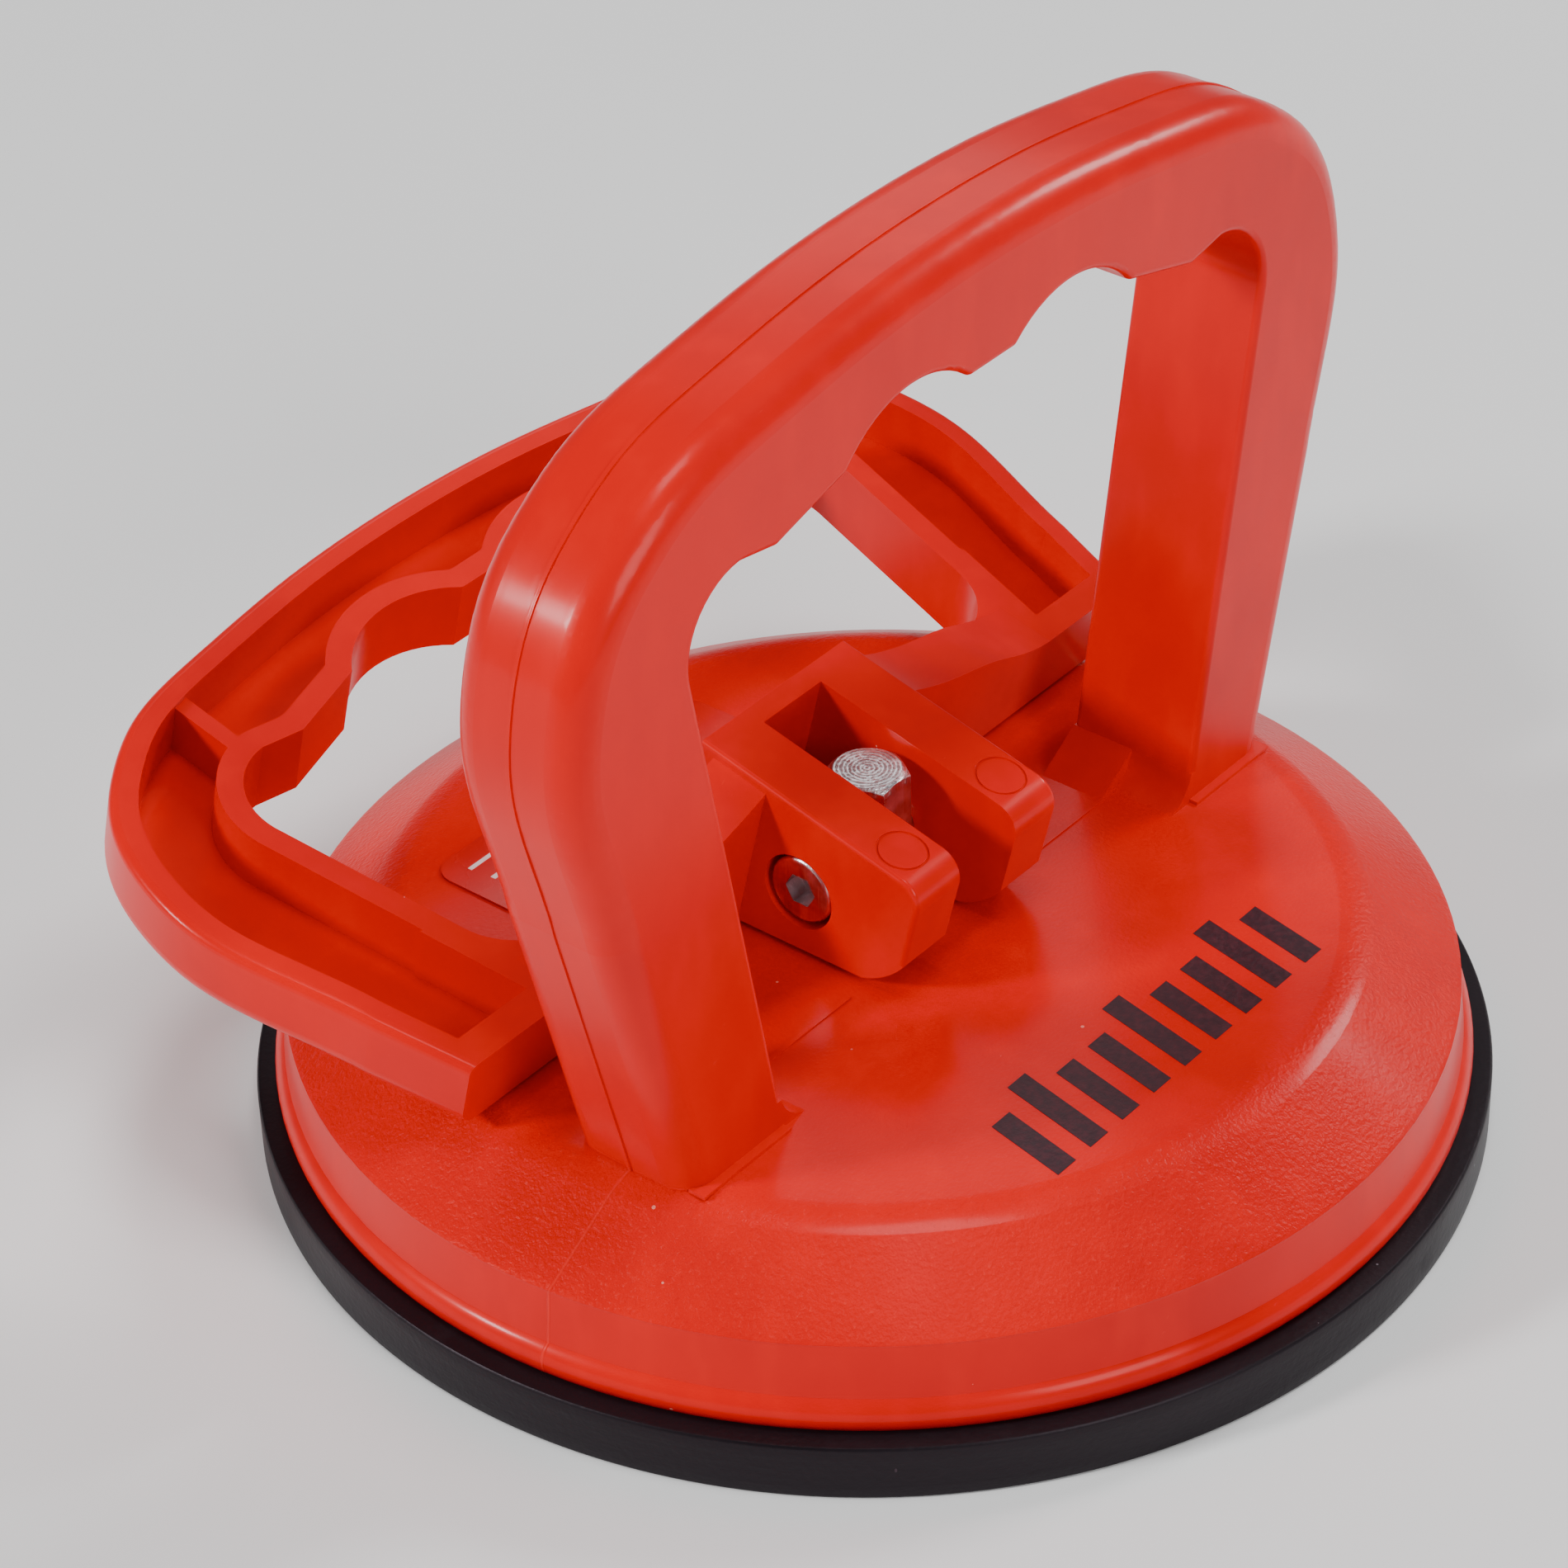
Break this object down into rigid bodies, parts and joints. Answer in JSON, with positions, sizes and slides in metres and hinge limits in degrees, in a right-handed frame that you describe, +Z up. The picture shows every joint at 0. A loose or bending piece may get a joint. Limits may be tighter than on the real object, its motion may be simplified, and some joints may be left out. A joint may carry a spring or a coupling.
{
  "type": "vacuum suction cup lifter",
  "caption": "Round rubber vacuum cup under a dome with a fixed loop handle and a hinged lever loop that pulls the rubber centre up to grip smooth panels.",
  "frame": {"origin": "centre of the flat suction face under the rubber disc", "axes": "+Z up, out of the panel; +X along the pivot bolt and the fixed handle's width; +Y the way the lever folds out"},
  "size_m": [0.118, 0.1204, 0.0975],
  "materials": {
    "red_plastic": "semi-gloss moulded, fine texture on the dome's sloping band",
    "red_lever_plastic": "semi-gloss moulded, slightly translucent",
    "black_rubber": "satin, dusty side wall",
    "label_film": "printed film",
    "steel_plate": "plain steel, bonded in the rubber",
    "zinc_steel": "zinc plated, turned end face",
    "bolt_steel": "bright zinc plated",
    "nylon": "nylon"
  },
  "bodies": {
    "base": {"housing": "red_plastic", "rubber_disc": "black_rubber", "instruction_label": "label_film"},
    "stud": {"pull_stud": "zinc_steel", "insert_plate": "steel_plate"},
    "lever": {"lever_handle": "red_lever_plastic", "pivot_bolt": "bolt_steel", "pivot_nut": "bolt_steel", "nut_lock_ring": "nylon"}
  },
  "joints": [
    {"name": "stud_lift", "type": "slide", "parent": "base", "child": "stud", "axis": [0, 0, 1], "range_m": [0, 0.0069], "deforming": ["rubber_disc"]},
    {"name": "lever_pivot", "type": "hinge", "parent": "stud", "child": "lever", "pos_m": [0, 0, 0.0279], "axis": [1, 0, 0], "range_deg": [0, 76]}
  ],
  "couplings": [
    {"joint": "lever_pivot", "follows": "stud_lift", "rad_per_m": 192.31}
  ]
}
